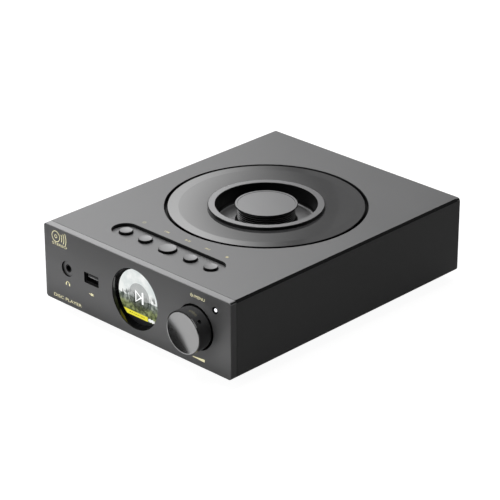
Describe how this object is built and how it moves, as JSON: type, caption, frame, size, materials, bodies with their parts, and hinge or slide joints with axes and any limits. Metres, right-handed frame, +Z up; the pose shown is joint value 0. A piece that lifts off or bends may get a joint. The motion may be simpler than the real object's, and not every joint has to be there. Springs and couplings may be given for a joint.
{
  "type": "compact disc player with headphone amplifier",
  "caption": "Low metal box with a round lift-off disc lid, a row of top buttons, a round display, a volume knob and a headphone jack.",
  "frame": {"origin": "middle of the footprint, on the surface the feet stand on", "axes": "+X to the right seen from the front, +Y to the rear, +Z up"},
  "size_m": [0.188, 0.2646, 0.0675],
  "materials": {
    "panel_silver": "fine bead-blasted, anodised silver grey",
    "case_silver": "fine bead-blasted, anodised silver grey",
    "turned_silver": "satin turned and anodised",
    "lid_gloss": "polished smoke-grey gloss",
    "bezel_black": "gloss black",
    "black_plastic": "matte black moulded",
    "display_glass": "polished, black backed",
    "light_clear": "clear frosted light pipe",
    "rubber_black": "matte moulded rubber",
    "steel": "zinc-plated steel",
    "screw_black": "blackened steel",
    "plated_gold": "gold-plated",
    "board_green": "green solder mask",
    "chip_black": "moulded package",
    "capacitor_can": "sleeved can",
    "transformer": "laminated core with taped winding",
    "lens_clear": "coated lens"
  },
  "bodies": {
    "case": {"board_chips": "chip_black", "board_standoffs": "steel", "bottom_plate": "screw_black", "bottom_screws": "screw_black", "button_board": "board_green", "button_standoffs": "steel", "button_switches": "black_plastic", "case_sleeve": "case_silver", "damper_bushes": "rubber_black", "disc_well": "black_plastic", "display_bezel": "bezel_black", "display_glass": "display_glass", "display_module": "black_plastic", "drive_plate": "steel", "encoder_body": "steel", "encoder_bracket": "screw_black", "encoder_nut": "steel", "feet": "turned_silver", "filter_capacitors": "capacitor_can", "foot_pads": "rubber_black", "front_board": "board_green", "front_panel": "panel_silver", "guide_rods": "steel", "headphone_jack": "steel", "inlet_blades": "steel", "light_pipe": "light_clear", "line_insulators": "black_plastic", "line_jacks": "plated_gold", "main_board": "board_green", "mains_inlet": "black_plastic", "optical_socket": "black_plastic", "power_transformer": "transformer", "rear_panel": "case_silver", "rear_screws": "screw_black", "sled_motor": "steel", "spindle_motor": "steel", "switch_housing": "black_plastic", "usb_shell": "steel", "usb_tongue": "black_plastic"},
    "lid": {"lid_plate": "lid_gloss", "lid_bowl": "turned_silver", "lid_grip": "turned_silver", "grip_screw": "steel", "clamp_cage": "black_plastic"},
    "disc_clamp": {"disc_clamp": "black_plastic"},
    "turntable": {"turntable": "black_plastic", "turntable_pad": "rubber_black"},
    "pickup_sled": {"pickup_sled": "black_plastic", "pickup_lens": "lens_clear"},
    "lead_screw": {"lead_screw": "steel"},
    "power_button": {"power_button": "turned_silver"},
    "previous_button": {"previous_button": "turned_silver"},
    "play_button": {"play_button": "turned_silver"},
    "next_button": {"next_button": "turned_silver"},
    "stop_button": {"stop_button": "turned_silver"},
    "knob_plunger": {"encoder_plunger": "steel"},
    "volume_knob": {"volume_knob": "turned_silver", "knob_set_screw": "steel", "encoder_shaft": "steel"},
    "power_rocker": {"power_rocker": "black_plastic"}
  },
  "joints": [
    {"name": "lid_lift", "type": "slide", "parent": "case", "child": "lid", "axis": [0, 0, 1], "range_m": [0, 0.07]},
    {"name": "clamp_spin", "type": "hinge", "parent": "lid", "child": "disc_clamp", "pos_m": [0, 0.0125, 0.0661], "axis": [0, 0, 1], "continuous": true},
    {"name": "turntable_spin", "type": "hinge", "parent": "case", "child": "turntable", "pos_m": [0, 0.0125, 0.0661], "axis": [0, 0, 1], "continuous": true},
    {"name": "sled_slide", "type": "slide", "parent": "case", "child": "pickup_sled", "axis": [0, -1, 0], "range_m": [0, 0.034]},
    {"name": "lead_screw_turn", "type": "hinge", "parent": "case", "child": "lead_screw", "pos_m": [-0.03, 0.0125, 0.0301], "axis": [0, 1, 0], "range_deg": [0, 2040]},
    {"name": "knob_push", "type": "slide", "parent": "case", "child": "knob_plunger", "axis": [0, 1, 0], "range_m": [0, 0.0005], "stiffness_N_per_m": 4000, "springref_m": -0.0005},
    {"name": "knob_turn", "type": "hinge", "parent": "knob_plunger", "child": "volume_knob", "pos_m": [0.0603, -0.12, 0.0368], "axis": [0, 1, 0], "continuous": true},
    {"name": "power_rocker_tilt", "type": "hinge", "parent": "case", "child": "power_rocker", "pos_m": [0.026, 0.117, 0.0285], "axis": [1, 0, 0], "range_deg": [-16, 0]},
    {"name": "power_press", "type": "slide", "parent": "case", "child": "power_button", "axis": [0, 0, -1], "range_m": [0, 0.0006], "stiffness_N_per_m": 1500, "springref_m": -0.0008},
    {"name": "previous_press", "type": "slide", "parent": "case", "child": "previous_button", "axis": [0, 0, -1], "range_m": [0, 0.0006], "stiffness_N_per_m": 1500, "springref_m": -0.0008},
    {"name": "play_press", "type": "slide", "parent": "case", "child": "play_button", "axis": [0, 0, -1], "range_m": [0, 0.0006], "stiffness_N_per_m": 1500, "springref_m": -0.0008},
    {"name": "next_press", "type": "slide", "parent": "case", "child": "next_button", "axis": [0, 0, -1], "range_m": [0, 0.0006], "stiffness_N_per_m": 1500, "springref_m": -0.0008},
    {"name": "stop_press", "type": "slide", "parent": "case", "child": "stop_button", "axis": [0, 0, -1], "range_m": [0, 0.0006], "stiffness_N_per_m": 1500, "springref_m": -0.0008}
  ],
  "couplings": [
    {"joint": "lead_screw_turn", "follows": "sled_slide", "rad_per_m": 1047.2}
  ]
}
